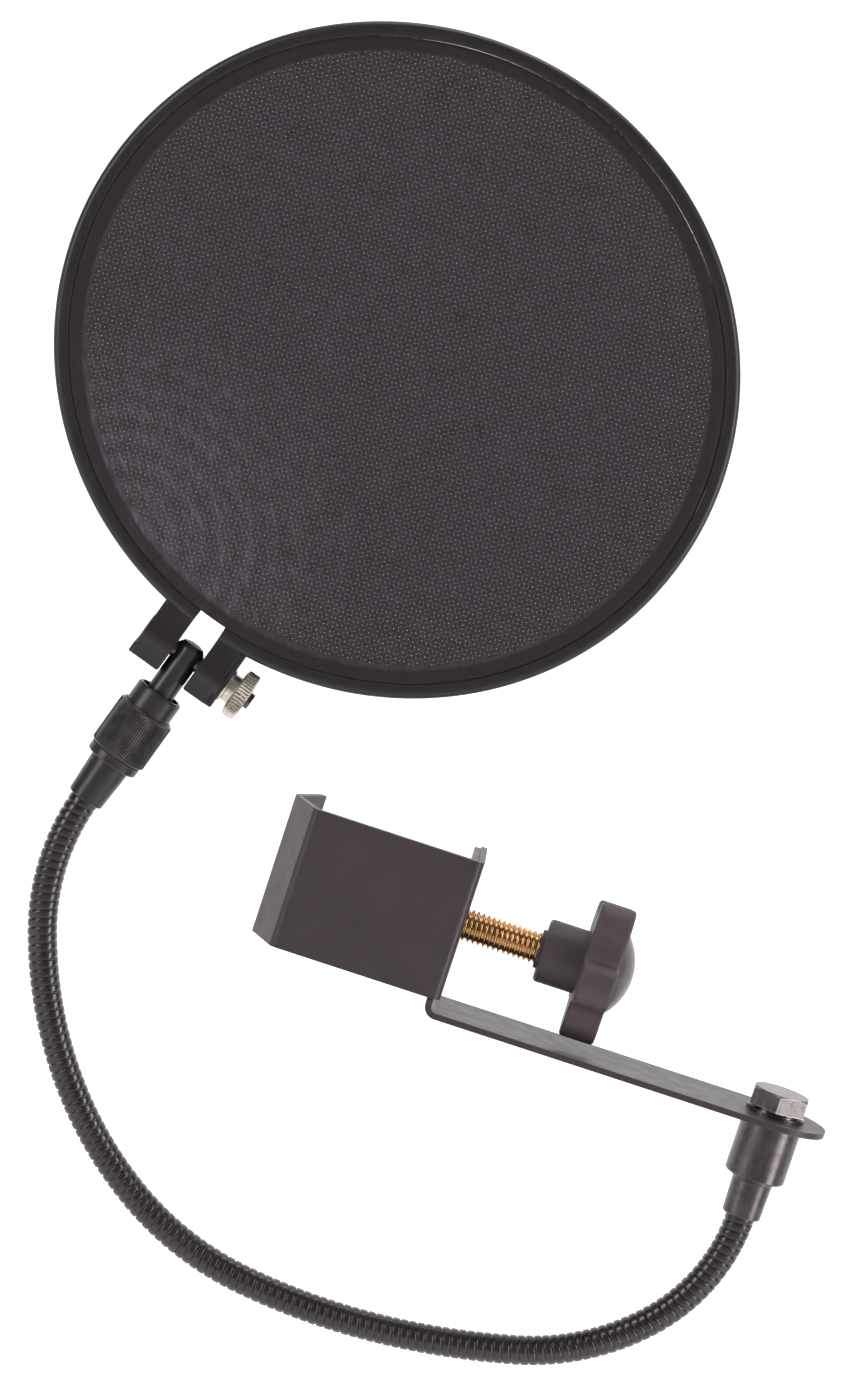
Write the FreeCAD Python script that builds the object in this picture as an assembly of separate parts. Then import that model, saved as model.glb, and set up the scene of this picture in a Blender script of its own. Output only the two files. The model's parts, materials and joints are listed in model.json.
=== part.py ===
"""Pop shield for a microphone: a two-layer mesh hoop on a gooseneck with a stand clamp.

Millimetres, +Z up. The origin is on the axis of a 20 mm stand tube that sits in
the clamp's V jaw, at the height of the clamp screw. +X runs along the arm, and
the hoop's front face looks towards -Y.
"""
import FreeCAD, Part
import math
import os

from FreeCAD import Placement, Rotation, Vector

os.makedirs("parts", exist_ok=True)

# ---- driving dimensions --------------------------------------------------
SHEET = 1.5                 # thickness of both clamp sheets
BAND = 25.0                 # width of the clamp sheets, along Y
HALF = BAND / 2
RUN = 0.08                  # radial clearance of a running fit

WEB_LEFT = -7.0             # web of the folded clamp, along X
WEB_RIGHT = 34.2
WEB_LOW = -17.0
WEB_HIGH = 16.9
V_DEPTH = 5.7               # how far the V jaw's ridge stands out beyond the web
JAW_BEND = 2.2              # outer radius of the web's bend into the flat jaw
V_BEND = 2.0                # outer radius of the V jaw's two bends

ARM_TOP = -20.0
ARM_BEND = 3.0              # outer radius of the arm's bend
FLANGE_TOP = 16.4
FLANGE_FRONT = -10.0        # the upright flange stays behind the web's bend
BOLT_X = 117.3

SCREW_R = 3.95              # M8 clamp screw, crests
SCREW_TIP = 15.0            # X of the screw's shoulder at the pad
PILOT_R = 3.0
PILOT_LENGTH = 3.4
HEX_AF = 13.0               # both M8 heads, across flats
HEX_HEIGHT = 5.3

KNOB_BOSS_X = 52.5          # the knob's face nearest to the jaw
KNOB_BOSS_R = 4.65
KNOB_HUB_R = 7.6
KNOB_HUB_X = 53.4
KNOB_STAR_X = 63.1
KNOB_STAR_DEPTH = 8.4
LOBES = 5
LOBE_R = 5.4
LOBE_CENTRE_R = 12.3
WAIST_R = 4.2
LOBE_START_DEG = 28.0
CAP_R = 10.0
CAP_RISE = 4.1
CAP_SEAT = 1.0              # depth of the cap's recess in the knob
HEX_SINK = 0.4              # from the screw's head to the cap

PAD_R = 7.0
PAD_DEPTH = 4.6

BOLT_R = 4.0                # M8 arm bolt
BOLT_GRIP = 9.5             # thread held inside the sleeve
BOLT_HEAD = 4.9             # head with its round washer face
BOLT_FACE = 0.7
BOLT_FACE_R = 6.2
BOLT_TURN_DEG = 26.0
WASHER_R = 7.1
WASHER_DEPTH = 0.8
SLEEVE_R = 7.2
SLEEVE_LOW = -35.6
FERRULE_LOW = -45.3
LOWER_FERRULE_R = (4.85, 4.6)
FERRULE_SPIGOT_R = 4.2      # pressed into the sleeve
FERRULE_SPIGOT = 2.4
COLLAR = 0.5                # how far the ferrule's top collar stands out

NECK_R = 3.55
NECK_LINK = 33.49           # centreline length of one neck segment
NECK_TURNS = (42.4, 33.0, 10.5, 11.9, 25.9, 20.3, 18.8, 34.8)   # degrees, segment by segment
BALL_R = 2.6
BALL_STUB_R = 1.7
GAP_BEFORE = 1.2            # from a segment's end to the bend point
GAP_AFTER = 1.0             # from the bend point to the next segment
NECK_PLUG = 7.0             # neck held inside each ferrule

HOOP_LEAN = sum(NECK_TURNS) - 180.0      # stem's lean from upright, towards +X
# heights along the stem, measured from the hoop's pivot
SOCKET_TOP = -10.4
NUT_TOP = -15.6
NUT_LOW = -28.4
RETAINER_LOW = -30.6
UPPER_FERRULE_LOW = -41.2
SOCKET_R = 5.8
SOCKET_LOW = -21.4
SOCKET_MOUTH_R = 4.9
NUT_R = 7.05
NUT_LIP_TOP = -25.0
RETAINER_R = 6.5
SPIGOT_R = 4.0
SPIGOT_HEAD_R = 5.3
UPPER_FERRULE_R = (4.95, 4.45)

STEM_R = 3.4
STEM_TOP = 3.6
STEM_LOW = -19.5

HOOP_CENTRE = 84.4          # from the pivot to the hoop's centre
HOOP_R = 78.55             # mean outer radius
OVAL = 1.85                 # the hoop is this much wider and this much shorter than round
HOOP_BAND = 3.3
HOOP_DEPTH = 10.0
INNER_R = 75.0
INNER_BAND = 3.2
INNER_DEPTH = 9.2
MESH = 0.4
EAR_GAP = 7.2
EAR_LEFT = 11.9             # outer sides of the two ears, along the pivot
EAR_RIGHT = 11.4
EAR_LOW = -6.2
EAR_TOP = 12.0              # inside the band
EAR_DEPTH = 9.0

PIVOT_R = 2.0
PIVOT_HEAD_R = 3.6
PIVOT_HEAD = 2.4
PIVOT_END = 18.4
THUMB_WASHER_R = 4.2
THUMB_WASHER = 0.5
THUMB_HUB_R = 3.6
THUMB_HUB = 1.9
THUMB_R = 6.0
THUMB_WHEEL = 3.5

AXIS_Y = Vector(0, 1, 0)
AXIS_Z = Vector(0, 0, 1)
ORIGIN = Vector(0, 0, 0)


# ---- helpers -------------------------------------------------------------
def save(shape, node):
    shape = shape.removeSplitter()
    shape.exportStep("parts/" + node + ".step")


def polygon(points):
    return Part.Face(Part.makePolygon([Vector(*p) for p in points] + [Vector(*points[0])]))


def turned(profile):
    """A solid turned about Z from (radius, height) points."""
    return polygon([(r, 0, z) for r, z in profile]).revolve(ORIGIN, AXIS_Z, 360)


def cylinder(r, low, high, x=0.0):
    return Part.makeCylinder(r, high - low, Vector(x, 0, low))


def rod_x(r, start, end):
    """A cylinder along X through the origin's axis."""
    return Part.makeCylinder(r, end - start, Vector(start, 0, 0), Vector(1, 0, 0))


def hexagon(across_flats, low, height, turn_deg=0.0):
    """A hexagonal prism along Z, with its top corners chamfered."""
    corner = across_flats / math.sqrt(3)
    angles = [math.radians(turn_deg + 60 * i) for i in range(6)]
    prism = polygon([(corner * math.cos(a), corner * math.sin(a), low) for a in angles])
    prism = prism.extrude(Vector(0, 0, height))
    flat = across_flats / 2
    slope = (corner - flat) * math.tan(math.radians(30))
    crown = turned([(0, low), (corner + 0.1, low), (corner + 0.1, low + height - slope - 0.06),
                    (flat, low + height), (0, low + height)])
    return prism.common(crown)


def along_x(shape):
    """Turn a shape built along Z so that its Z runs along X."""
    shape = shape.copy()
    shape.Placement = Placement(ORIGIN, Rotation(AXIS_Y, 90)) * shape.Placement
    return shape


def on_stem(shape):
    """Place a shape built about the hoop's pivot, stem upright, where the pivot is."""
    shape = shape.copy()
    shape.Placement = Placement(PIVOT, Rotation(AXIS_Y, HOOP_LEAN)) * shape.Placement
    return shape


def heading(turn_deg):
    """The neck's direction of travel after turning this far from straight down."""
    a = math.radians(turn_deg)
    return Vector(-math.sin(a), 0, -math.cos(a))


def inward(turn_deg):
    """The direction from the neck's centreline to its centre of curvature."""
    a = math.radians(turn_deg)
    return Vector(-math.cos(a), 0, math.sin(a))


def neck_route():
    """The bend points of the neck and how far it has turned at each of them."""
    point = Vector(BOLT_X, 0, FERRULE_LOW)
    turned_deg = 0.0
    points = [point]
    turns = [turned_deg]
    for turn in NECK_TURNS:
        radius = NECK_LINK / math.radians(turn)
        centre = point + inward(turned_deg) * radius
        turned_deg += turn
        point = centre - inward(turned_deg) * radius
        points.append(point)
        turns.append(turned_deg)
    return points, turns


NECK_POINTS, NECK_HEADINGS = neck_route()
PIVOT = NECK_POINTS[-1] - heading(NECK_HEADINGS[-1]) * UPPER_FERRULE_LOW


# ---- stand clamp ---------------------------------------------------------
def sheet_between(outer, inner):
    """A folded sheet's plan outline from its outer and inner lines, extruded in Z."""
    outline = outer + inner[::-1]
    return polygon([(x, y, WEB_LOW) for x, y in outline]).extrude(Vector(0, 0, WEB_HIGH - WEB_LOW))


def clamp_bracket():
    """Web, V jaw on the left and flat jaw on the right, folded from one sheet."""
    slant = math.hypot(V_DEPTH, HALF)
    side = SHEET * slant / HALF               # sheet measured along X on a slanted facet
    corner = SHEET * (slant - V_DEPTH) / HALF  # how the inner web corner shifts along X
    tip = SHEET * V_DEPTH / slant
    outer = [(WEB_LEFT, HALF), (WEB_LEFT - V_DEPTH, 0), (WEB_LEFT, -HALF), (WEB_RIGHT, -HALF),
             (WEB_RIGHT, HALF)]
    inner = [(WEB_LEFT + SHEET * HALF / slant, HALF - tip), (WEB_LEFT - V_DEPTH + side, 0),
             (WEB_LEFT + corner, -HALF + SHEET), (WEB_RIGHT - SHEET, -HALF + SHEET),
             (WEB_RIGHT - SHEET, HALF)]
    body = sheet_between(outer, inner)
    bends = [(outer[1], V_BEND), (outer[2], V_BEND), (outer[3], JAW_BEND),
             (inner[1], V_BEND - SHEET), (inner[2], V_BEND - SHEET), (inner[3], JAW_BEND - SHEET)]
    for (x, y), radius in bends:
        body = body.makeFillet(radius, [e for e in body.Edges if is_upright(e, x, y)])
    return body.cut(rod_x(SCREW_R + RUN, WEB_RIGHT - SHEET - 1, WEB_RIGHT + 1))


def is_upright(edge, x, y):
    a, b = edge.Vertexes[0].Point, edge.Vertexes[-1].Point
    return all(abs(p.x - x) < 0.01 and abs(p.y - y) < 0.01 for p in (a, b)) and abs(a.z - b.z) > 5


def clamp_arm():
    """Flat arm with a round end, its other end folded up inside the flat jaw."""
    left = WEB_RIGHT - 2 * SHEET
    low = ARM_TOP - SHEET
    arc = math.sqrt(0.5)
    outer_mid = Vector(left + ARM_BEND * (1 - arc), -HALF, low + ARM_BEND * (1 - arc))
    bend_in = ARM_BEND - SHEET
    inner_mid = Vector(left + SHEET + bend_in * (1 - arc), -HALF, ARM_TOP + bend_in * (1 - arc))

    def at(x, z):
        return Vector(x, -HALF, z)

    edges = [
        Part.makeLine(at(left, FLANGE_TOP), at(left, low + ARM_BEND)),
        Part.Arc(at(left, low + ARM_BEND), outer_mid, at(left + ARM_BEND, low)).toShape(),
        Part.makeLine(at(left + ARM_BEND, low), at(BOLT_X + HALF, low)),
        Part.makeLine(at(BOLT_X + HALF, low), at(BOLT_X + HALF, ARM_TOP)),
        Part.makeLine(at(BOLT_X + HALF, ARM_TOP), at(left + ARM_BEND, ARM_TOP)),
        Part.Arc(at(left + ARM_BEND, ARM_TOP), inner_mid, at(left + SHEET, low + ARM_BEND)).toShape(),
        Part.makeLine(at(left + SHEET, low + ARM_BEND), at(left + SHEET, FLANGE_TOP)),
        Part.makeLine(at(left + SHEET, FLANGE_TOP), at(left, FLANGE_TOP)),
    ]
    body = Part.Face(Part.Wire(edges)).extrude(Vector(0, BAND, 0))
    ends = [e for e in body.Edges if abs(e.BoundBox.XMin - BOLT_X - HALF) < 0.01
            and abs(e.BoundBox.ZLength - SHEET) < 0.01]
    body = body.makeFillet(HALF - 0.02, ends)
    notch = Part.makeBox(SHEET + 1.2, FLANGE_FRONT + HALF + 1, FLANGE_TOP - WEB_LOW + 1.3,
                         Vector(left - 1, -HALF - 1, WEB_LOW - 0.3))
    body = body.cut(notch)
    body = body.cut(cylinder(BOLT_R + RUN, low - 1, ARM_TOP + 1, BOLT_X))
    return body.cut(rod_x(SCREW_R + RUN, left - 1, left + SHEET + 1))


def clamp_screw():
    """M8 screw: hexagon head held in the knob, shank, and a pilot that turns in the pad."""
    head_x = KNOB_STAR_X + KNOB_STAR_DEPTH - CAP_SEAT - HEX_HEIGHT - HEX_SINK
    shank = turned([(0, SCREW_TIP - PILOT_LENGTH), (PILOT_R - 0.4, SCREW_TIP - PILOT_LENGTH),
                    (PILOT_R, SCREW_TIP - PILOT_LENGTH + 0.4), (PILOT_R, SCREW_TIP),
                    (SCREW_R - 0.5, SCREW_TIP), (SCREW_R, SCREW_TIP + 0.5), (SCREW_R, head_x),
                    (0, head_x)])
    return along_x(shank.fuse(hexagon(HEX_AF, head_x, HEX_HEIGHT, 30)))


def star_outline(x):
    """The knob's lobed outline: round lobes joined by hollow waists, all tangent."""
    step = math.pi / LOBES
    reach = LOBE_R + WAIST_R
    cosine = math.cos(step)
    waist_centre = LOBE_CENTRE_R * cosine + math.sqrt(
        (LOBE_CENTRE_R * cosine) ** 2 - LOBE_CENTRE_R ** 2 + reach ** 2)

    def at(radius, angle):
        return Vector(x, radius * math.sin(angle), radius * math.cos(angle))

    start = -math.radians(LOBE_START_DEG)
    edges = []
    for i in range(LOBES):
        lobe = start + 2 * step * i
        centre = at(LOBE_CENTRE_R, lobe)
        waists = [at(waist_centre, lobe - step), at(waist_centre, lobe + step)]
        joins = [centre + (w - centre) * (LOBE_R / reach) for w in waists]
        edges.append(Part.Arc(joins[0], at(LOBE_CENTRE_R + LOBE_R, lobe), joins[1]).toShape())
        after = at(LOBE_CENTRE_R, lobe + 2 * step)
        far = after + (waists[1] - after) * (LOBE_R / reach)
        edges.append(Part.Arc(joins[1], at(waist_centre - WAIST_R, lobe + step), far).toShape())
    return Part.Face(Part.Wire(edges))


def star_knob():
    """Five-lobe knob moulded round the screw's head, with a hub towards the jaw."""
    end = KNOB_STAR_X + KNOB_STAR_DEPTH
    star = star_outline(KNOB_STAR_X).extrude(Vector(KNOB_STAR_DEPTH, 0, 0))
    star = star.makeFillet(0.8, [e for e in star.Edges if e.BoundBox.XLength < 0.01])
    hub = along_x(turned([(0, KNOB_BOSS_X), (KNOB_BOSS_R, KNOB_BOSS_X), (KNOB_BOSS_R, KNOB_HUB_X),
                          (KNOB_HUB_R - 0.5, KNOB_HUB_X), (KNOB_HUB_R, KNOB_HUB_X + 0.5),
                          (KNOB_HUB_R, KNOB_STAR_X + 1), (0, KNOB_STAR_X + 1)]))
    body = star.fuse(hub)
    body = body.cut(rod_x(CAP_R, end - CAP_SEAT, end + 1))
    pocket = hexagon(HEX_AF, 0, HEX_HEIGHT + 0.5, 30)
    pocket = pocket.fuse(cylinder(HEX_AF / 2, 0, HEX_HEIGHT + 0.5))
    pocket = along_x(pocket)
    pocket.translate(Vector(end - CAP_SEAT - HEX_HEIGHT - HEX_SINK, 0, 0))
    body = body.cut(pocket)
    return body.cut(rod_x(SCREW_R, KNOB_BOSS_X - 1, end))


def knob_cap():
    """Domed cap that closes the knob over the screw's head."""
    base = KNOB_STAR_X + KNOB_STAR_DEPTH
    sphere_r = (CAP_R ** 2 + CAP_RISE ** 2) / (2 * CAP_RISE)
    ball = Part.makeSphere(sphere_r, Vector(base + CAP_RISE - sphere_r, 0, 0))
    dome = ball.common(rod_x(CAP_R, base, base + CAP_RISE + 1))
    return dome.fuse(rod_x(CAP_R, base - CAP_SEAT, base))


def pressure_pad():
    """Round pad on the screw's end, with a blind bore for the pilot."""
    face = SCREW_TIP - PAD_DEPTH
    pad = turned([(0, face), (PAD_R - 0.8, face), (PAD_R, face + 0.8), (PAD_R, SCREW_TIP - 1.4),
                  (PAD_R - 1.2, SCREW_TIP - 0.1), (0, SCREW_TIP - 0.1)])
    bore = cylinder(PILOT_R + RUN, SCREW_TIP - PILOT_LENGTH - 0.2, SCREW_TIP + 1)
    return along_x(pad.cut(bore))


# ---- base of the neck ----------------------------------------------------
def base_parts():
    """Bolt, washer, sleeve and lower ferrule on the bolt's axis."""
    top = ARM_TOP + WASHER_DEPTH
    sleeve_top = ARM_TOP - SHEET
    grip = sleeve_top - BOLT_GRIP
    face = top + BOLT_FACE
    bolt = hexagon(HEX_AF, face, BOLT_HEAD - BOLT_FACE, BOLT_TURN_DEG).fuse(
        turned([(0, grip), (BOLT_R - 0.6, grip), (BOLT_R, grip + 0.6), (BOLT_R, top),
                (BOLT_FACE_R, top), (BOLT_FACE_R, face), (0, face)]))
    washer = cylinder(WASHER_R, ARM_TOP, top).cut(cylinder(BOLT_R, ARM_TOP - 1, top + 1))
    sleeve = turned([(0, SLEEVE_LOW), (SLEEVE_R - 0.5, SLEEVE_LOW), (SLEEVE_R, SLEEVE_LOW + 0.5),
                     (SLEEVE_R, sleeve_top), (0, sleeve_top)])
    sleeve = sleeve.cut(cylinder(BOLT_R, grip, sleeve_top + 1))
    socket_top = SLEEVE_LOW + FERRULE_SPIGOT + 0.2
    sleeve = sleeve.cut(cylinder(FERRULE_SPIGOT_R, SLEEVE_LOW - 1, socket_top))
    top_r, low_r = LOWER_FERRULE_R
    ferrule = turned([(0, FERRULE_LOW), (low_r - 0.3, FERRULE_LOW), (low_r, FERRULE_LOW + 0.3),
                      (top_r, SLEEVE_LOW - 1.0), (top_r + COLLAR, SLEEVE_LOW - 0.5),
                      (top_r + COLLAR, SLEEVE_LOW), (FERRULE_SPIGOT_R, SLEEVE_LOW),
                      (FERRULE_SPIGOT_R, SLEEVE_LOW + FERRULE_SPIGOT),
                      (0, SLEEVE_LOW + FERRULE_SPIGOT)])
    ferrule = ferrule.cut(cylinder(NECK_R, FERRULE_LOW - 1, FERRULE_LOW + NECK_PLUG))
    shapes = {"arm_bolt": bolt, "bolt_washer": washer, "base_sleeve": sleeve,
              "lower_ferrule": ferrule}
    for shape in shapes.values():
        shape.translate(Vector(BOLT_X, 0, 0))
    return shapes


# ---- neck ----------------------------------------------------------------
def neck_segment(index):
    """One curved segment: a cup at its start and a ball at its end, where the neck bends."""
    first = index == 0
    last = index == len(NECK_TURNS) - 1
    point = NECK_POINTS[index]
    start_deg = NECK_HEADINGS[index]
    radius = NECK_LINK / math.radians(NECK_TURNS[index])
    centre = point + inward(start_deg) * radius
    skip_deg = 0.0 if first else math.degrees(GAP_AFTER / radius)
    stop_deg = 0.0 if last else math.degrees(GAP_BEFORE / radius)
    from_deg = start_deg + skip_deg
    circle = Part.Wire(Part.makeCircle(NECK_R, centre - inward(from_deg) * radius,
                                       heading(from_deg)))
    body = Part.Face(circle).revolve(centre, AXIS_Y, NECK_TURNS[index] - skip_deg - stop_deg)
    end = NECK_POINTS[index + 1]
    end_way = heading(NECK_HEADINGS[index + 1])
    if first:
        up = heading(start_deg) * -1
        body = body.fuse(Part.makeCylinder(NECK_R, NECK_PLUG - 0.2, point, up))
    else:
        body = body.cut(Part.makeSphere(BALL_R + 0.07, point))
    if last:
        return body.fuse(Part.makeCylinder(NECK_R, NECK_PLUG - 0.2, end, end_way))
    stub = Part.makeCylinder(BALL_STUB_R, 3.0, end - end_way * 3.0, end_way)
    return body.fuse(stub).fuse(Part.makeSphere(BALL_R, end))


# ---- union between neck and hoop, built about the pivot -------------------
def union_parts():
    """Ferrule with its captive head, retaining ring, knurled nut, socket and stem."""
    top_r, low_r = UPPER_FERRULE_R
    low = UPPER_FERRULE_LOW
    head_low = SOCKET_LOW - 2.6
    ferrule = turned([(0, low), (low_r - 0.3, low), (low_r, low + 0.3), (top_r, RETAINER_LOW),
                      (SPIGOT_R, RETAINER_LOW), (SPIGOT_R, head_low), (SPIGOT_HEAD_R, head_low),
                      (SPIGOT_HEAD_R, SOCKET_LOW - 0.1), (0, SOCKET_LOW - 0.1)])
    ferrule = ferrule.cut(cylinder(NECK_R, low - 1, low + NECK_PLUG))
    ring = turned([(SPIGOT_R, RETAINER_LOW), (RETAINER_R - 0.3, RETAINER_LOW),
                   (RETAINER_R, RETAINER_LOW + 0.3), (RETAINER_R, NUT_LOW - 0.1),
                   (SPIGOT_R, NUT_LOW - 0.1)])
    chamfer = 0.7
    chamber = SOCKET_R + RUN
    nut = turned([(SPIGOT_R + RUN, NUT_LOW), (NUT_R - chamfer, NUT_LOW), (NUT_R, NUT_LOW + chamfer),
                  (NUT_R, NUT_TOP - chamfer), (NUT_R - chamfer, NUT_TOP), (chamber, NUT_TOP),
                  (chamber, NUT_LIP_TOP), (SPIGOT_R + RUN, NUT_LIP_TOP)])
    socket = turned([(0, SOCKET_LOW), (SOCKET_R, SOCKET_LOW), (SOCKET_R, SOCKET_TOP - 0.5),
                     (SOCKET_R - 0.4, SOCKET_TOP), (SOCKET_MOUTH_R, SOCKET_TOP),
                     (SOCKET_MOUTH_R, SOCKET_TOP - 1.6), (STEM_R, SOCKET_TOP - 2.2),
                     (STEM_R, STEM_LOW), (0, STEM_LOW)])
    dome_start = STEM_TOP - 1.5
    stem = turned([(0, STEM_LOW), (STEM_R, STEM_LOW), (STEM_R, dome_start),
                   (STEM_R - 0.9, STEM_TOP - 0.35), (STEM_R - 2.0, STEM_TOP), (0, STEM_TOP)])
    stem = stem.cut(rod_x(PIVOT_R + RUN, -STEM_R - 1, STEM_R + 1))
    return {"upper_ferrule": ferrule, "nut_retainer": ring, "union_nut": nut,
            "socket": socket, "stem": stem}


# ---- hoop, built about the pivot ------------------------------------------
def oval(mean_r, depth):
    """An oval slab about the hoop's centre, square to Y."""
    edge = Part.Ellipse(ORIGIN, mean_r + OVAL, mean_r - OVAL).toShape()
    slab = Part.Face(Part.Wire(edge)).extrude(Vector(0, 0, depth))
    slab.Placement = Placement(Vector(0, depth / 2, HOOP_CENTRE), Rotation(Vector(1, 0, 0), 90))
    return slab


def ear(side, outer):
    """One of the two ears that close the outer hoop round the stem."""
    half_gap = EAR_GAP / 2
    low_x = half_gap if side > 0 else -outer
    block = Part.makeBox(outer - half_gap, EAR_DEPTH, EAR_TOP - EAR_LOW,
                         Vector(low_x, -EAR_DEPTH / 2, EAR_LOW))
    ends = [e for e in block.Edges if abs(e.BoundBox.ZMax - EAR_LOW) < 0.01]
    return block.makeFillet(0.6, ends)


def outer_hoop():
    """Split outer hoop: rounded band, two ears, and a gap between them."""
    band = oval(HOOP_R, HOOP_DEPTH)
    band = band.makeFillet(1.0, [e for e in band.Edges if e.BoundBox.YLength < 0.01])
    band = band.fuse(ear(-1, EAR_LEFT)).fuse(ear(1, EAR_RIGHT))
    band = band.cut(oval(HOOP_R - HOOP_BAND, HOOP_DEPTH + 2))
    slot = Part.makeBox(EAR_GAP, HOOP_DEPTH + 2, 20, Vector(-EAR_GAP / 2, -HOOP_DEPTH / 2 - 1, -8))
    body = band.cut(slot).cut(rod_x(PIVOT_R, -EAR_LEFT - 1, EAR_RIGHT + 1))
    return body.cut(rod_x(PIVOT_HEAD_R + 0.2, -EAR_LEFT - 1, -EAR_LEFT + PIVOT_HEAD + 0.2))


def hoop_parts():
    """Outer hoop, inner hoop, both mesh layers and the pivot screw."""
    inner = oval(INNER_R, INNER_DEPTH).cut(oval(INNER_R - INNER_BAND, INNER_DEPTH + 2))
    front = oval(INNER_R, MESH)
    front.translate(Vector(0, -(INNER_DEPTH + MESH) / 2, 0))
    rear = oval(INNER_R, MESH)
    rear.translate(Vector(0, (INNER_DEPTH + MESH) / 2, 0))
    seat = -EAR_LEFT + PIVOT_HEAD + 0.2
    screw = rod_x(PIVOT_R, seat, PIVOT_END).fuse(rod_x(PIVOT_HEAD_R, seat - PIVOT_HEAD, seat))
    return {"outer_hoop": outer_hoop(), "inner_hoop": inner, "front_mesh": front,
            "rear_mesh": rear, "pivot_screw": screw}


def thumb_parts():
    """Washer and knurled thumb nut that close the ears on the stem."""
    bore = PIVOT_R + 0.05
    hub_start = EAR_RIGHT + THUMB_WASHER
    wheel_start = hub_start + THUMB_HUB
    wheel_end = wheel_start + THUMB_WHEEL
    washer = turned([(bore, EAR_RIGHT), (THUMB_WASHER_R, EAR_RIGHT), (THUMB_WASHER_R, hub_start),
                     (bore, hub_start)])
    nut = turned([(bore, hub_start), (THUMB_HUB_R, hub_start), (THUMB_HUB_R, wheel_start),
                  (THUMB_R - 0.4, wheel_start), (THUMB_R, wheel_start + 0.4),
                  (THUMB_R, wheel_end - 0.4), (THUMB_R - 0.4, wheel_end), (bore, wheel_end)])
    return {"thumb_washer": along_x(washer), "thumb_nut": along_x(nut)}


def main():
    """Write every part."""
    save(clamp_bracket(), "clamp_bracket")
    save(clamp_arm(), "clamp_arm")
    save(clamp_screw(), "clamp_screw")
    save(star_knob(), "star_knob")
    save(knob_cap(), "knob_cap")
    save(pressure_pad(), "pressure_pad")
    for node, shape in base_parts().items():
        save(shape, node)
    for index in range(len(NECK_TURNS)):
        save(neck_segment(index), "neck_segment_%d" % (index + 1))
    for group in (union_parts(), hoop_parts(), thumb_parts()):
        for node, shape in group.items():
            save(on_stem(shape), node)


main()
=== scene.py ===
"""Looks of the microphone pop shield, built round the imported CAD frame.

Lengths are millimetres until a mesh is made, and metres from there on.
"""

import json
import math

import bmesh
import bpy
from mathutils import Matrix, Vector

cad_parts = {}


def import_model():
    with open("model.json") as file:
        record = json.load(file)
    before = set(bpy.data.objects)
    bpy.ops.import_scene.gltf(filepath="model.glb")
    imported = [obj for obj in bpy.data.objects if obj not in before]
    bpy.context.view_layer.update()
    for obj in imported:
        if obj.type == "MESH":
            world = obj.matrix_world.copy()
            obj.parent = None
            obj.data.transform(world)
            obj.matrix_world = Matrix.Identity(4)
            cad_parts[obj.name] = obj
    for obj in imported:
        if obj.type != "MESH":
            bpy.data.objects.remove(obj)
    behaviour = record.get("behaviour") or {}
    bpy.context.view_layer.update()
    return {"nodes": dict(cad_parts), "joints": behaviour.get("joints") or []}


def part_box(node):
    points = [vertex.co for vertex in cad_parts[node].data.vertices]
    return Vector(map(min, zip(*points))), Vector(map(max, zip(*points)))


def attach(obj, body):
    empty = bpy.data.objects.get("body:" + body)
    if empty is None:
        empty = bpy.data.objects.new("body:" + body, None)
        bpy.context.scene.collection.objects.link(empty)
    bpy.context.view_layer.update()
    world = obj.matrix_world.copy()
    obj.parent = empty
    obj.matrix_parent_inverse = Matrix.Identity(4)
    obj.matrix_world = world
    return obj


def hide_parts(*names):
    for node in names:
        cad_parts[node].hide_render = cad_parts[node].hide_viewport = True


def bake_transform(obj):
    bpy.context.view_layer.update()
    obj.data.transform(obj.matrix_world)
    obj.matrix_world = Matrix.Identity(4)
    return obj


MM = 0.001
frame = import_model()
nodes = frame["nodes"]
joints = {j["name"]: j for j in frame["joints"]}
AXIS_Y = Vector((0, 1, 0))


# ---- placing ---------------------------------------------------------------
def joint_at(name):
    """A joint's position in millimetres."""
    return Vector(joints[name]["pos_m"]) / MM


def frame_of(x_axis, z_axis, origin):
    """The matrix of a local frame whose Y is the row's Y."""
    m = Matrix((x_axis, AXIS_Y, z_axis)).transposed().to_4x4()
    m.translation = origin
    return m


STEM_WAY = Vector(joints["union_swivel"]["axis"]).normalized()
PIVOT_WAY = Vector(joints["thumb_feed"]["axis"]).normalized()
ON_STEM = frame_of(PIVOT_WAY, STEM_WAY, joint_at("hoop_tilt"))
# Z of a turned piece lies along +X of the row (clamp screw) or along the pivot screw
ALONG_X = Matrix.Rotation(math.pi / 2, 4, "Y")
ON_PIVOT = ON_STEM @ ALONG_X


# ---- meshes ----------------------------------------------------------------
def make(name, verts, faces, place=None, smooth=40, mat=None):
    """A mesh object from millimetre points; edges sharper than smooth degrees stay sharp."""
    mesh = bpy.data.meshes.new(name)
    place = place or Matrix.Identity(4)
    mesh.from_pydata([(place @ Vector(v)) * MM for v in verts], [], faces)
    bm = bmesh.new()
    bm.from_mesh(mesh)
    bmesh.ops.recalc_face_normals(bm, faces=bm.faces)
    bm.to_mesh(mesh)
    bm.free()
    obj = bpy.data.objects.new(name, mesh)
    bpy.context.scene.collection.objects.link(obj)
    shade(obj, smooth)
    if mat:
        mesh.materials.append(mat)
    return obj


def shade(obj, smooth):
    mesh = obj.data
    mesh.polygons.foreach_set("use_smooth", [True] * len(mesh.polygons))
    mesh.set_sharp_from_angle(angle=math.radians(smooth))
    mesh.update()


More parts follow.
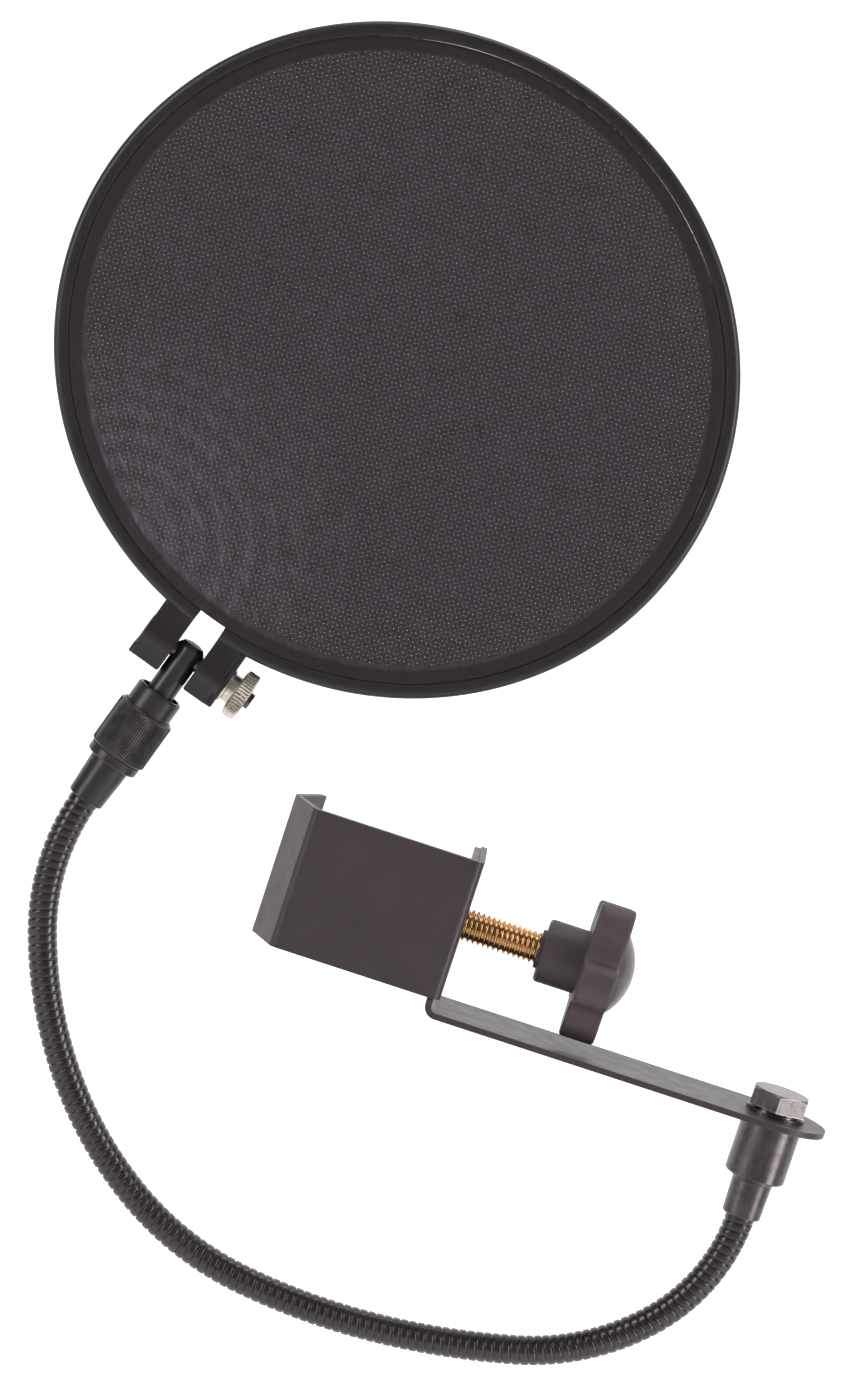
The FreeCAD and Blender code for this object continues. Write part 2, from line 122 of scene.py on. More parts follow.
def rings(rows, closed_loop=False):
    """Faces that join rows of equally many points, each row a closed ring, with end caps."""
    count = len(rows[0])
    verts = [p for row in rows for p in row]
    faces = []
    pairs = list(zip(range(len(rows) - 1), range(1, len(rows))))
    if closed_loop:
        pairs.append((len(rows) - 1, 0))
    for a, b in pairs:
        for j in range(count):
            k = (j + 1) % count
            faces.append((a * count + j, a * count + k, b * count + k, b * count + j))
    if not closed_loop:
        faces.append(tuple(range(count))[::-1])
        faces.append(tuple((len(rows) - 1) * count + j for j in range(count)))
    return verts, faces


def ring(radius, z, steps, wave=None):
    points = []
    for j in range(steps):
        a = 2 * math.pi * j / steps
        r = radius * (1 - wave(a)) if wave else radius
        points.append((r * math.cos(a), r * math.sin(a), z))
    return points


def lathe(name, profile, steps, place, mat, bore=False, smooth=35):
    """A piece turned about Z. profile holds (radius, height) or (radius, height, wave)."""
    rows = [ring(p[0], p[1], steps, p[2] if len(p) > 2 else None) for p in profile]
    verts, faces = rings(rows, closed_loop=bore)
    return make(name, verts, faces, place, smooth, mat)


def knurl(teeth, depth, radius):
    """Straight knurling: a ridged wave of that many teeth, as a share of the radius."""
    def wave(angle):
        phase = (angle * teeth / (2 * math.pi)) % 1
        return depth / radius * abs(2 * phase - 1) ** 1.3
    return wave


def helix_rod(name, crest, depth, pitch, low, high, steps, rows_per_pitch, groove, place, mat):
    """A rod along Z with a helical groove; groove(phase) runs from 0 at the crest to 1."""
    count = int(round((high - low) / pitch * rows_per_pitch))
    rows = []
    for i in range(count + 1):
        z = low + (high - low) * i / count
        lead_in = min(1.0, (z - low) / pitch + 0.2, (high - z) / pitch + 0.2)
        row = []
        for j in range(steps):
            a = 2 * math.pi * j / steps
            g = groove((z / pitch - a / (2 * math.pi)) % 1)
            r = crest - depth * (g if lead_in >= 1 else g * lead_in + 0.6 * (1 - lead_in))
            row.append((r * math.cos(a), r * math.sin(a), z))
        rows.append(row)
    verts, faces = rings(rows)
    return make(name, verts, faces, place, 60, mat)


# ---- materials --------------------------------------------------------------
class Look:
    """A node material about a Principled shader, with object coordinates."""

    def __init__(self, name, roughness=0.5, metallic=0.0, **sockets):
        self.mat = bpy.data.materials.new(name)
        self.mat.use_nodes = True
        self.tree = self.mat.node_tree
        self.shader = self.tree.nodes["Principled BSDF"]
        self.shader.inputs["Roughness"].default_value = roughness
        self.shader.inputs["Metallic"].default_value = metallic
        for key, value in sockets.items():
            self.shader.inputs[key.replace("_", " ")].default_value = value
        self.coords = self.add("ShaderNodeTexCoord").outputs["Object"]

    def add(self, kind, values=None, **props):
        node = self.tree.nodes.new(kind)
        for key, value in props.items():
            setattr(node, key, value)
        for key, value in (values or {}).items():
            if isinstance(value, bpy.types.NodeSocket):
                self.tree.links.new(value, node.inputs[key])
            else:
                node.inputs[key].default_value = value
        return node

    def link(self, output, socket):
        self.tree.links.new(output, self.shader.inputs[socket])

    def noise(self, scale, detail=3.0, rough=0.55, stretch=None):
        coords = self.coords
        if stretch:
            coords = self.add("ShaderNodeMapping", {"Vector": coords, "Scale": stretch}).outputs[0]
        return self.add("ShaderNodeTexNoise", {"Vector": coords, "Scale": scale, "Detail": detail,
                                               "Roughness": rough}).outputs["Fac"]

    def span(self, value, low, high, to_low, to_high):
        return self.add("ShaderNodeMapRange", {"Value": value, "From Min": low, "From Max": high,
                                               "To Min": to_low, "To Max": to_high}).outputs[0]

    def math(self, operation, a, b=0.5, c=0.5):
        return self.add("ShaderNodeMath", {0: a, 1: b, 2: c}, operation=operation).outputs[0]

    def blend(self, factor, a, b):
        """The colour a at factor 0 and b at 1."""
        values = {0: factor}
        for key, colour in ((6, a), (7, b)):
            is_socket = isinstance(colour, bpy.types.NodeSocket)
            values[key] = colour if is_socket else (*colour, 1)
        return self.add("ShaderNodeMix", values, data_type="RGBA").outputs[2]

    def bump(self, height, distance, strength=1.0, normal=None):
        values = {"Height": height, "Distance": distance, "Strength": strength}
        if normal:
            values["Normal"] = normal
        return self.add("ShaderNodeBump", values).outputs[0]

    def edges(self, radius, low=0.02, high=0.25):
        """A mask of the piece's edges: how far a rounded normal leans from the true one."""
        soft = self.add("ShaderNodeBevel", {"Radius": radius}, samples=6).outputs[0]
        true = self.add("ShaderNodeNewGeometry").outputs["Normal"]
        dot = self.add("ShaderNodeVectorMath", {0: soft, 1: true},
                       operation="DOT_PRODUCT").outputs["Value"]
        return self.span(self.math("SUBTRACT", 1.0, dot), low, high, 0.0, 1.0)


def shades(colour, dark, light):
    return tuple(c * dark for c in colour), tuple(c * light for c in colour)


def paint(name, colour, roughness, grain, grain_depth, patch=0.12, wear_and_edge_highlight=None, edge_radius=0.0004,
          **sockets):
    """Painted or moulded surface: fine grain, faint patches, and lighter edges, partly wear and
    partly a painted edge highlight.
    """
    look = Look(name, roughness, **sockets)
    low, high = shades(colour, 1 - patch, 1 + patch)
    patches = look.span(look.noise(90, 4), 0.35, 0.65, 0.0, 1.0)
    tone = look.blend(patches, low, high)
    speck = look.span(look.noise(grain * 0.6, 2), 0.56, 0.74, 0.0, 0.35)
    tone = look.blend(speck, tone, shades(colour, 1, 1.45)[1])
    # lighter edges: partly wear, partly a painted highlight where rounded edges catch the light
    if wear_and_edge_highlight:
        mask = look.math("MULTIPLY", look.edges(edge_radius),
                         look.span(look.noise(400, 4), 0.42, 0.6, 0.25, 1.0))
        tone = look.blend(mask, tone, wear_and_edge_highlight)
    look.link(tone, "Base Color")
    look.link(look.span(look.noise(260, 3), 0.3, 0.7, roughness * 0.88, roughness * 1.12),
              "Roughness")
    look.link(look.bump(look.noise(grain, 3), grain_depth), "Normal")
    return look.mat


def metal(name, colour, roughness, brush, stretch, stain=None, stain_span=(0.5, 0.62), depth=1e-5,
          metallic=1.0, wear_and_edge_highlight=None, **sockets):
    """Plated or brushed metal: streaks along one way, stains, and a varied roughness."""
    look = Look(name, roughness, metallic, **sockets)
    low, high = shades(colour, 0.84, 1.12)
    streak = look.noise(brush, 3, 0.6, stretch)
    tone = look.blend(look.span(streak, 0.3, 0.7, 0.0, 1.0), low, high)
    if stain:
        spots = look.span(look.noise(520, 5, 0.65), *stain_span, 0.0, 0.85)
        tone = look.blend(spots, tone, stain)
    # lighter edges: partly wear, partly a painted edge highlight
    if wear_and_edge_highlight:
        tone = look.blend(look.edges(0.00035), tone, wear_and_edge_highlight)
    look.link(tone, "Base Color")
    look.link(look.span(streak, 0.3, 0.7, roughness * 0.8, roughness * 1.25), "Roughness")
    look.link(look.bump(streak, depth), "Normal")
    return look.mat


HOOP_CENTRE = 84.4          # from the pivot screw, along the stem
HOOP_R = 78.55              # mean outer radius
HOOP_IN = 75.1              # mean inner radius of the outer band
OVAL = 1.85                 # the hoop is this much wider and this much shorter than round

NET_PITCH = 0.42
NET_OPEN = 0.30             # open share of the pitch, each way


def net_look(name, turn_deg, shift):
    """Fine nylon net: threads over and under, with square openings between them, a painted sheen
    near the low rim and painted shade over the hoop's band.
    """
    look = Look(name, 0.6, Sheen_Weight=0.25, Sheen_Roughness=0.4, Specular_IOR_Level=0.3)
    look.shader.inputs["Sheen Tint"].default_value = (0.8, 0.72, 0.8, 1)
    # the painted sheen on the net is centred on this point near the low rim
    low_rim = (ON_STEM @ Vector((-28, 0, 14))) * MM
    middle = (ON_STEM @ Vector((0, 0, HOOP_CENTRE))) * MM
    from_middle = look.add("ShaderNodeVectorMath", {0: look.coords, 1: tuple(middle)},
                           operation="SUBTRACT").outputs[0]
    reach = [look.add("ShaderNodeVectorMath", {0: from_middle, 1: tuple(way * squeeze)},
                      operation="DOT_PRODUCT").outputs["Value"]
             for way, squeeze in ((PIVOT_WAY, 1 - OVAL / HOOP_R), (STEM_WAY, 1 + OVAL / HOOP_R))]
    radius = look.math("SQRT", look.math("MULTIPLY_ADD", reach[0], reach[0],
                                         look.math("MULTIPLY", reach[1], reach[1])))
    # painted shade: the net is darker where it lies over the hoop's band
    band_shade = look.span(radius, 71.6 * MM, 72.2 * MM, 0.0, 0.75)
    away = look.add("ShaderNodeVectorMath", {0: look.coords, 1: tuple(low_rim)},
                    operation="DISTANCE").outputs["Value"]
    look.coords = look.add("ShaderNodeMapping", {"Vector": look.coords,
                                                 "Rotation": (0, math.radians(turn_deg), 0),
                                                 "Location": (shift * MM, 0, 0)}).outputs[0]
    axes = look.add("ShaderNodeSeparateXYZ", {0: look.coords})
    hills = []
    for axis in ("X", "Z"):
        phase = look.math("FRACT", look.math("MULTIPLY", axes.outputs[axis], 1 / (NET_PITCH * MM)))
        hills.append(look.math("ABSOLUTE", look.math("SUBTRACT", phase, 0.5)))
    gap = NET_OPEN / 2
    open_x = look.math("LESS_THAN", hills[0], gap)
    open_z = look.math("LESS_THAN", hills[1], gap)
    look.link(look.math("SUBTRACT", 1.0, look.math("MULTIPLY", open_x, open_z)), "Alpha")
    height = look.math("MAXIMUM", hills[0], hills[1])
    # uneven threads along both ways of the weave, and a painted sheen: a lighter patch near the low
    # rim, broken into the soft rings that two layers make
    warp = look.span(look.noise(1500, 2, 0.5, (1, 1, 0.16)), 0.4, 0.68, 0.0, 1.0)
    weft = look.span(look.noise(1500, 2, 0.5, (0.16, 1, 1)), 0.4, 0.68, 0.0, 1.0)
    mottle = look.span(look.noise(160, 4, 0.6), 0.35, 0.65, 0.0, 1.0)
    tone = look.blend(mottle, (0.0225, 0.0155, 0.021), (0.031, 0.0225, 0.0295))
    threads = look.math("MULTIPLY", look.math("MAXIMUM", warp, weft), 0.4)
    tone = look.blend(threads, tone, (0.07, 0.055, 0.067))
    rings_in = look.span(look.math("SINE", look.math("MULTIPLY", away, 1100.0)), -1.0, 1.0, 0.2, 0.5)
    painted_sheen = look.math("MULTIPLY", look.span(away, 0.005, 0.055, 0.9, 0.0), rings_in)
    tone = look.blend(look.math("MULTIPLY", painted_sheen, look.math("MAXIMUM", warp, 0.3)), tone,
                      (0.24, 0.205, 0.235))
    # painted shade over the hoop's band
    tone = look.blend(band_shade, tone, (0.012, 0.0085, 0.011))
    look.link(tone, "Base Color")
    look.link(look.bump(height, 0.15 * MM, 0.6), "Normal")
    return look.mat


CHARCOAL = paint("charcoal_paint", (0.048, 0.037, 0.041), 0.4, 2600, 1.2e-5, 0.05,
                 wear_and_edge_highlight=(0.15, 0.135, 0.14), Specular_IOR_Level=0.42)
HOOP_PLASTIC = paint("hoop_plastic", (0.0155, 0.0125, 0.0132), 0.4, 1500, 1.5e-5, 0.12,
                     wear_and_edge_highlight=(0.05, 0.047, 0.047))
KNOB_PLASTIC = paint("knob_plastic", (0.062, 0.047, 0.054), 0.55, 1900, 2.5e-5, 0.08,
                     wear_and_edge_highlight=(0.12, 0.115, 0.12))
CAP_PLASTIC = paint("cap_plastic", (0.075, 0.061, 0.068), 0.3, 1600, 0.8e-5, 0.08)
PAD_RUBBER = paint("pad_rubber", (0.03, 0.03, 0.03), 0.8, 1200, 3e-5, 0.15)
COIL_BLACK = paint("coil_black", (0.021, 0.016, 0.0175), 0.26, 2200, 0.5e-5, 0.2,
                   wear_and_edge_highlight=(0.07, 0.06, 0.062), edge_radius=0.0002, Coat_Weight=0.3)
UNION_BLACK = paint("union_black", (0.019, 0.016, 0.017), 0.33, 1700, 1e-5, 0.25,
                    wear_and_edge_highlight=(0.2, 0.19, 0.19), edge_radius=0.0003)
STEM_BLACK = paint("stem_black", (0.02, 0.017, 0.018), 0.36, 1500, 0.5e-5, 0.15,
                   wear_and_edge_highlight=(0.08, 0.07, 0.072), edge_radius=0.0003, Coat_Weight=0.15)
SLEEVE_METAL = metal("sleeve_metal", (0.125, 0.113, 0.116), 0.3, 500, (1, 1, 0.25),
                     stain=(0.07, 0.062, 0.064), stain_span=(0.5, 0.75))
BOLT_METAL = metal("bolt_metal", (0.1, 0.09, 0.088), 0.24, 900, (1, 1, 0.15),
                   stain=(0.03, 0.026, 0.026), stain_span=(0.5, 0.72), wear_and_edge_highlight=(0.36, 0.34, 0.32))
SCREW_METAL = metal("screw_metal", (0.7, 0.47, 0.24), 0.2, 420, (1, 1, 1),
                    stain=(0.3, 0.25, 0.2), stain_span=(0.5, 0.8))
NUT_METAL = metal("nut_metal", (0.78, 0.72, 0.62), 0.34, 900, (1, 1, 1),
                  stain=(0.5, 0.43, 0.34), stain_span=(0.5, 0.8))
NET_FRONT = net_look("net_front", 35.0, 0.0)
NET_REAR = net_look("net_rear", 78.0, 0.17)


# ---- carried-over CAD nodes ---------------------------------------------------
def dress(node, mat, bevel=0.0):
    """A CAD node with its finished material, and with its sharp edges eased."""
    obj = nodes[node]
    obj.data.materials.clear()
    obj.data.materials.append(mat)
    if bevel:
        weld = obj.modifiers.new("weld", "WELD")
        weld.merge_threshold = 1e-6
        ease = obj.modifiers.new("ease", "BEVEL")
        ease.width = bevel * MM
        ease.segments = 2
        ease.limit_method = "ANGLE"
        ease.angle_limit = math.radians(35)
        ease.harden_normals = False


dress("clamp_bracket", CHARCOAL)
dress("clamp_arm", CHARCOAL)
dress("star_knob", KNOB_PLASTIC)
dress("knob_cap", CAP_PLASTIC)
dress("pressure_pad", PAD_RUBBER)
dress("arm_bolt", BOLT_METAL)
dress("bolt_washer", SLEEVE_METAL)
dress("base_sleeve", SLEEVE_METAL)
dress("lower_ferrule", SLEEVE_METAL)
dress("upper_ferrule", UNION_BLACK)
dress("nut_retainer", UNION_BLACK)
dress("socket", UNION_BLACK)
dress("stem", STEM_BLACK)
dress("inner_hoop", HOOP_PLASTIC)
dress("pivot_screw", SLEEVE_METAL)
dress("thumb_washer", NUT_METAL)


# ---- clamp screw --------------------------------------------------------------
SCREW_CREST = 3.95
THREAD_DEPTH = 0.72
THREAD_PITCH = 1.25
PILOT_R = 3.0
PILOT_LENGTH = 3.4
HEAD_HEIGHT = 5.3
HEAD_TO_CAP = 0.4           # plastic between the screw's head and the cap


def vee(phase):
    """Screw thread: flat crest, straight flanks, flat root."""
    away = abs(phase - 0.5) * 2          # 0 at the root, 1 at the crest
    return min(1.0, max(0.0, (0.86 - away) / 0.68))


def clamp_screw():
    low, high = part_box("clamp_screw")
    tip = low.x / MM
    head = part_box("knob_cap")[0].x / MM - HEAD_TO_CAP - HEAD_HEIGHT
    rod = helix_rod("m8_screw", SCREW_CREST, THREAD_DEPTH, THREAD_PITCH, tip + PILOT_LENGTH,
                    head, 40, 12, vee, ALONG_X, SCREW_METAL)
    pilot = lathe("m8_pilot", [(PILOT_R - 0.4, tip), (PILOT_R, tip + 0.4), (PILOT_R, tip + 3.5)],
                  40, ALONG_X, SCREW_METAL)
    corner = (high.z - low.z) / 2 / MM
    hexagon = [(corner * math.cos(math.pi / 3 * i + math.pi / 6),
                corner * math.sin(math.pi / 3 * i + math.pi / 6)) for i in range(6)]
    rows = [[(x * k, y * k, z) for x, y in hexagon]
            for k, z in ((1, head), (1, head + 4.9), (0.92, head + HEAD_HEIGHT))]
    verts, faces = rings(rows)
    nut = make("m8_head", verts, faces, ALONG_X, 20, SCREW_METAL)
    for piece in (rod, pilot, nut):
        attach(piece, "clamp_knob")
    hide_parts("clamp_screw")


clamp_screw()


# ---- gooseneck ------------------------------------------------------------------
RIB_PITCH = 2.02
RIB_CREST = 3.55
RIB_DEPTH = 0.4
NECK_SIDES = 28
ROWS_PER_RIB = 14


def heading(turn):
    return Vector((-math.sin(turn), 0, -math.cos(turn)))


def inward(turn):
    return Vector((-math.cos(turn), 0, math.sin(turn)))


def neck_route():
    """Bend points, how far the neck has turned at each, and the length of one segment."""
    low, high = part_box("lower_ferrule")
    names = [n for n in joints if n.startswith("neck_")]
    points = [Vector(((low.x + high.x) / 2, 0, low.z)) / MM] + [joint_at(n) for n in names]
    turns = [0.0]
    for a, b in zip(points, points[1:]):
        step = b - a
        chord = math.atan2(-step.x, -step.z)
        while chord < turns[-1] - math.pi / 2:
            chord += 2 * math.pi
        turns.append(2 * chord - turns[-1])
    link = (points[1] - points[0]).length / (2 * math.sin(turns[1] / 2)) * turns[1]
    turns.append(math.pi + math.atan2(STEM_WAY.x, STEM_WAY.z))
    return points, turns, link


NECK_POINTS, NECK_TURNS, NECK_LINK = neck_route()
NECK_COUNT = len(NECK_POINTS)
NECK_LENGTH = NECK_COUNT * NECK_LINK


def neck_at(s):
    """The centreline's point and its inward direction, s millimetres from the lower ferrule."""
    k = min(max(int(s // NECK_LINK), 0), NECK_COUNT - 1)
    radius = NECK_LINK / (NECK_TURNS[k + 1] - NECK_TURNS[k])
    inside = min(max(s, 0.0), NECK_LENGTH)
    turn = NECK_TURNS[k] + (inside - k * NECK_LINK) / radius
    centre = NECK_POINTS[k] + inward(NECK_TURNS[k]) * radius
    return centre - inward(turn) * radius + heading(turn) * (s - inside), inward(turn)


def rib(phase):
    """Depth of the narrow groove between two slightly crowned ribs, 0 at the rib's top."""
    away = abs(phase - 0.5) * 2
    groove = max(0.0, (away - 0.72) / 0.28)
    return 0.1 * away ** 2 + 0.9 * groove ** 0.7


def neck_piece(name, start, end):
    count = int(round((end - start) / RIB_PITCH * ROWS_PER_RIB))
    rows = []
    for i in range(count + 1):
        s = start + (end - start) * i / count
        point, side = neck_at(s)
        row = []
        for j in range(NECK_SIDES):
            a = 2 * math.pi * j / NECK_SIDES
            r = RIB_CREST - RIB_DEPTH * rib((s / RIB_PITCH - a / (2 * math.pi)) % 1)
            row.append(point + (side * math.cos(a) + AXIS_Y * math.sin(a)) * r)
        rows.append(row)
    verts, faces = rings(rows)
    piece = make(name, verts, faces, None, 75, COIL_BLACK)
    return piece


def gooseneck():
    bodies = ["base"] + [joints[n]["child"] for n in joints if n.startswith("neck_")]
    inset = 4.0                # how far the coil reaches into each ferrule
    half = NECK_LINK / 2
    first = neck_piece("neck_coil_0", -inset, half)
    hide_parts("neck_segment_1")
    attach(first, bodies[0])
    for k in range(1, NECK_COUNT):
        piece = neck_piece("neck_coil_%d" % k, k * NECK_LINK - half, k * NECK_LINK + half)
        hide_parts("neck_segment_%d" % (k + 1))
        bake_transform(piece)
    last = neck_piece("neck_coil_%d" % NECK_COUNT, NECK_LENGTH - half, NECK_LENGTH + inset)
    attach(last, bodies[-1])


gooseneck()


# ---- knurled nuts -----------------------------------------------------------------
UNION_R = 7.05
UNION_TEETH = 72
THUMB_TEETH = 44
STEPS_PER_TOOTH = 6


def union_nut():
    """The nut round the socket, on the stem's axis, below the hoop's pivot."""
    wave = knurl(UNION_TEETH, 0.3, UNION_R)
    low, top, chamfer = -28.4, -15.6, 0.7
    profile = [(4.08, low), (6.0, low), (UNION_R - chamfer, low),
               (UNION_R - 0.15, low + chamfer * 0.8)]
    profile += [(UNION_R, low + chamfer + 0.12 + (top - low - 2 * chamfer - 0.24) * i / 8, wave)
                for i in range(9)]
    profile += [(UNION_R - 0.15, top - chamfer * 0.8), (UNION_R - chamfer, top), (6.2, top),
                (5.88, top - 0.3), (5.88, -25.0), (4.08, -25.0)]
    nut = lathe("knurled_union_nut", profile, UNION_TEETH * STEPS_PER_TOOTH, ON_STEM,
                UNION_BLACK, bore=True, smooth=30)
    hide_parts("union_nut")
    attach(nut, "union_lock")


def thumb_nut():
    """The bright nut on the pivot screw, its hub against the washer."""
    start, hub_end, end = 11.9, 13.8, 17.3
    wave = knurl(THUMB_TEETH, 0.34, 6.0)
    profile = [(2.05, start), (3.4, start), (3.6, start + 0.2), (3.6, hub_end - 0.1),
               (4.2, hub_end), (5.4, hub_end), (5.75, hub_end + 0.3)]
    profile += [(6.0, hub_end + 0.45 + (end - hub_end - 0.9) * i / 4, wave) for i in range(5)]
    profile += [(5.75, end - 0.3), (5.4, end), (3.1, end), (2.9, end - 0.25), (2.4, end - 0.25),
                (2.05, end - 0.5)]
    nut = lathe("knurled_thumb_nut", profile, THUMB_TEETH * STEPS_PER_TOOTH, ON_PIVOT,
                NUT_METAL, bore=True, smooth=30)
    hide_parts("thumb_nut")
    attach(nut, "thumb_knob")


union_nut()
thumb_nut()


# ---- hoop ------------------------------------------------------------------------
HOOP_HALF = 5.0             # half its depth
GAP_HALF = 3.6
EAR_LOW = -6.2
BAND_STEPS = 240


def arc_points(centre, radius, start_deg, end_deg, count):
    points = []
    for i in range(count + 1):
        a = math.radians(start_deg + (end_deg - start_deg) * i / count)
        points.append((centre[0] + radius * math.cos(a), centre[1] + radius * math.sin(a)))
    return points


def on_oval(mean_r, y, angle):
    return ((mean_r + OVAL) * math.cos(angle), y, HOOP_CENTRE + (mean_r - OVAL) * math.sin(angle))


def band_profile():
    """The outer band's section as (radius, y) points, its outer edges well rounded."""
    outer, inner = 1.5, 0.45
    points = arc_points((HOOP_R - outer, HOOP_HALF - outer), outer, 0, 90, 6)
    points += arc_points((HOOP_IN + inner, HOOP_HALF - inner), inner, 90, 180, 3)
    points += arc_points((HOOP_IN + inner, -HOOP_HALF + inner), inner, 180, 270, 3)
    points += arc_points((HOOP_R - outer, -HOOP_HALF + outer), outer, 270, 360, 6)
    return points


def hoop_band():
    gap = math.asin(GAP_HALF / (HOOP_R + OVAL))
    start = -math.pi / 2 + gap
    sweep = 2 * math.pi - 2 * gap
    rows = []
    for i in range(BAND_STEPS + 1):
        a = start + sweep * i / BAND_STEPS
        rows.append([on_oval(r, y, a) for r, y in band_profile()])
    verts, faces = rings(rows)
    return make("hoop_band", verts, faces, None, 40, HOOP_PLASTIC)


def block(name, x, y, z, bevel):
    """A box between those limits, with its edges rounded."""
    bm = bmesh.new()
    bmesh.ops.create_cube(bm, size=1)
    for v in bm.verts:
        v.co = Vector([lo + (hi - lo) * (c + 0.5) for c, (lo, hi) in zip(v.co, (x, y, z))]) * MM
    bmesh.ops.bevel(bm, geom=bm.edges[:], offset=bevel * MM, segments=3, profile=0.5,
                    affect="EDGES")
    mesh = bpy.data.meshes.new(name)
    bm.to_mesh(mesh)
    bm.free()
    obj = bpy.data.objects.new(name, mesh)
    bpy.context.scene.collection.objects.link(obj)
    return obj


def combine(target, tool, operation):
    """Applies one exact boolean and removes the tool."""
    mod = target.modifiers.new("combine", "BOOLEAN")
    mod.operation = operation
    mod.solver = "EXACT"
    mod.object = tool
    depsgraph = bpy.context.evaluated_depsgraph_get()
    result = bpy.data.meshes.new_from_object(target.evaluated_get(depsgraph))
    target.modifiers.clear()
    old = target.data
    target.data = result
    bpy.data.meshes.remove(old)
    bpy.data.objects.remove(tool)


def rod_tool(radius, start, end):
    return lathe("tool", [(radius, start), (radius, end)], 48, ALONG_X, None)


def outer_hoop():
    hoop = hoop_band()
    ears = [
        block("ear", (-11.5, -GAP_HALF), (-4.5, 4.5), (EAR_LOW, 10.2), 0.55),
        block("ear", (-11.9, -8.0), (-4.3, 4.3), (EAR_LOW, -3.4), 0.4),
        block("ear", (GAP_HALF, 10.0), (-4.5, 4.5), (EAR_LOW, 10.2), 0.55),
        block("ear", (9.0, 11.4), (-3.9, 3.9), (EAR_LOW, 10.0), 0.5),
    ]
    for ear in ears:
        combine(hoop, ear, "UNION")
    for start, end in ((-11.3, -GAP_HALF), (GAP_HALF, 10.6)):
        combine(hoop, rod_tool(4.95, start, end), "UNION")
    combine(hoop, rod_tool(2.0, -13, 13), "DIFFERENCE")
    combine(hoop, rod_tool(3.8, -13, -9.3), "DIFFERENCE")
    hoop.data.transform(Matrix.Scale(1 / MM, 4))
    hoop.data.transform(Matrix.Scale(MM, 4) @ ON_STEM)
    hoop.data.materials.clear()
    hoop.data.materials.append(HOOP_PLASTIC)
    shade(hoop, 30)
    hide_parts("outer_hoop")
    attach(hoop, "hoop")


NET_EDGE_R = 75.05


def net(name, side, mat, node):
    """One layer of net, stretched flat over the inner hoop and tucked in round its edge."""
    face = 4.82 * side
    radii = [6.0 * i for i in range(1, 12)] + [69.5, 72.0, 73.6]
    profile = [(r, face) for r in radii]
    profile += arc_points((74.25, face - 0.8 * side), 0.8, 90 * side, 0, 5)
    profile.append((NET_EDGE_R, face - 2.6 * side))
    steps = 180
    verts = [(0, face, HOOP_CENTRE)]
    faces = []
    for r, y in profile:
        for j in range(steps):
            verts.append(on_oval(r, y, 2 * math.pi * j / steps))
    for j in range(steps):
        k = (j + 1) % steps
        faces.append((0, 1 + j, 1 + k))
        for i in range(len(profile) - 1):
            a, b = 1 + i * steps, 1 + (i + 1) * steps
            faces.append((a + j, b + j, b + k, a + k))
    sheet = make(name, verts, faces, ON_STEM, 60, mat)
    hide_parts(node)
    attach(sheet, "hoop")


outer_hoop()
net("net_front", -1, NET_FRONT, "front_mesh")
net("net_rear", 1, NET_REAR, "rear_mesh")


# ---- stage, light, camera --------------------------------------------------------
def area_light(name, place, target, size, power, colour=(1, 0.945, 0.965)):
    data = bpy.data.lights.new(name, "AREA")
    data.shape = "RECTANGLE"
    data.size, data.size_y = size
    data.energy = power
    data.color = colour
    lamp = bpy.data.objects.new(name, data)
    bpy.context.scene.collection.objects.link(lamp)
    lamp.location = place
    way = Vector(target) - Vector(place)
    lamp.rotation_euler = way.to_track_quat("-Z", "Y").to_euler()


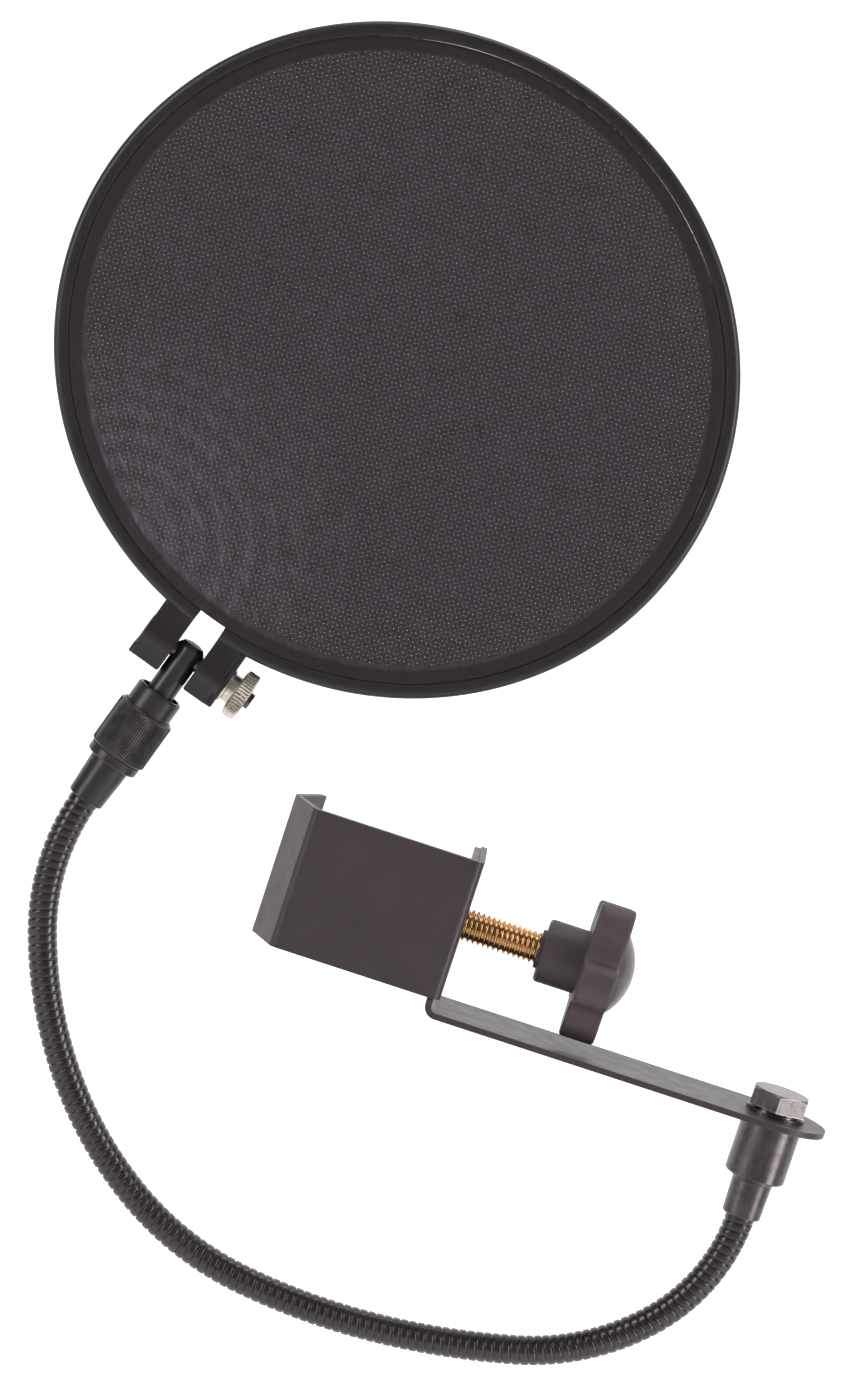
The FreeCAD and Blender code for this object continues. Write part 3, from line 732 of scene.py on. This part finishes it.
def stage():
    """A pale floor that sweeps up into a backdrop far behind the object."""
    near, far, side, floor, bend, top = -3.0, 2.2, 5.0, -0.36, 1.2, 4.0
    line = [(near, floor)]
    line += [(far - bend + bend * math.sin(a), floor + bend - bend * math.cos(a))
             for a in (math.pi / 2 * i / 24 for i in range(25))]
    line.append((far, top))
    verts = [(x, y, z) for y, z in line for x in (-side, side)]
    faces = [(2 * i, 2 * i + 1, 2 * i + 3, 2 * i + 2) for i in range(len(line) - 1)]
    mesh = bpy.data.meshes.new("floor")
    mesh.from_pydata(verts, [], faces)
    floor = bpy.data.objects.new("floor", mesh)
    bpy.context.scene.collection.objects.link(floor)
    shade(floor, 60)
    look = Look("floor_white", 0.9)
    tone = look.span(look.noise(2.0), 0.3, 0.7, 0.9, 0.93)
    look.link(look.blend(tone, (0.0, 0.0, 0.0), (1, 1, 1)), "Base Color")
    look.shader.inputs["Emission Color"].default_value = (1, 1, 1, 1)
    depth = look.add("ShaderNodeSeparateXYZ", {0: look.coords}).outputs["Y"]
    look.link(look.span(depth, 0.3, 0.9, 0.15, 0.85), "Emission Strength")
    mesh.materials.append(look.mat)


def world():
    """White behind the object, and a dimmer white that lights it."""
    scene = bpy.context.scene
    scene.world = bpy.data.worlds.new("world")
    scene.world.use_nodes = True
    tree = scene.world.node_tree
    background = tree.nodes["Background"]
    path = tree.nodes.new("ShaderNodeLightPath")
    level = tree.nodes.new("ShaderNodeMapRange")
    level.inputs["To Min"].default_value = 0.15
    level.inputs["To Max"].default_value = 1.05
    tree.links.new(path.outputs["Is Camera Ray"], level.inputs["Value"])
    tree.links.new(level.outputs[0], background.inputs["Strength"])
    background.inputs["Color"].default_value = (1, 1, 1, 1)


def camera():
    """A distant camera in front of the hoop, looking down a little and turned on its own axis."""
    roll, pitch = math.radians(18.1), math.radians(7.0)
    level = Vector((0, math.sin(pitch), math.cos(pitch)))
    ahead = Vector((0, math.cos(pitch), -math.sin(pitch)))
    right = Vector((1, 0, 0)) * math.cos(roll) + level * math.sin(roll)
    up = level * math.cos(roll) - Vector((1, 0, 0)) * math.sin(roll)
    data = bpy.data.cameras.new("camera")
    data.lens = 133.9
    data.sensor_width = 36
    data.clip_start = 0.1
    data.clip_end = 20
    obj = bpy.data.objects.new("camera", data)
    bpy.context.scene.collection.objects.link(obj)
    turn = Matrix((right, up, -ahead)).transposed()
    obj.matrix_world = Matrix.Translation((0.0088, -1.1911, 0.195)) @ turn.to_4x4()
    bpy.context.scene.camera = obj


stage()
world()
camera()
LIT_POINT = (0.02, 0.0, 0.05)
area_light("left_box", (-0.75, -0.6, 0.3), LIT_POINT, (0.35, 0.9), 5)
area_light("right_box", (0.8, -0.4, 0.2), LIT_POINT, (0.3, 0.9), 6)
area_light("top_box", (0.0, 0.1, 1.0), LIT_POINT, (0.9, 0.5), 5)
bpy.context.scene.view_settings.view_transform = "Standard"
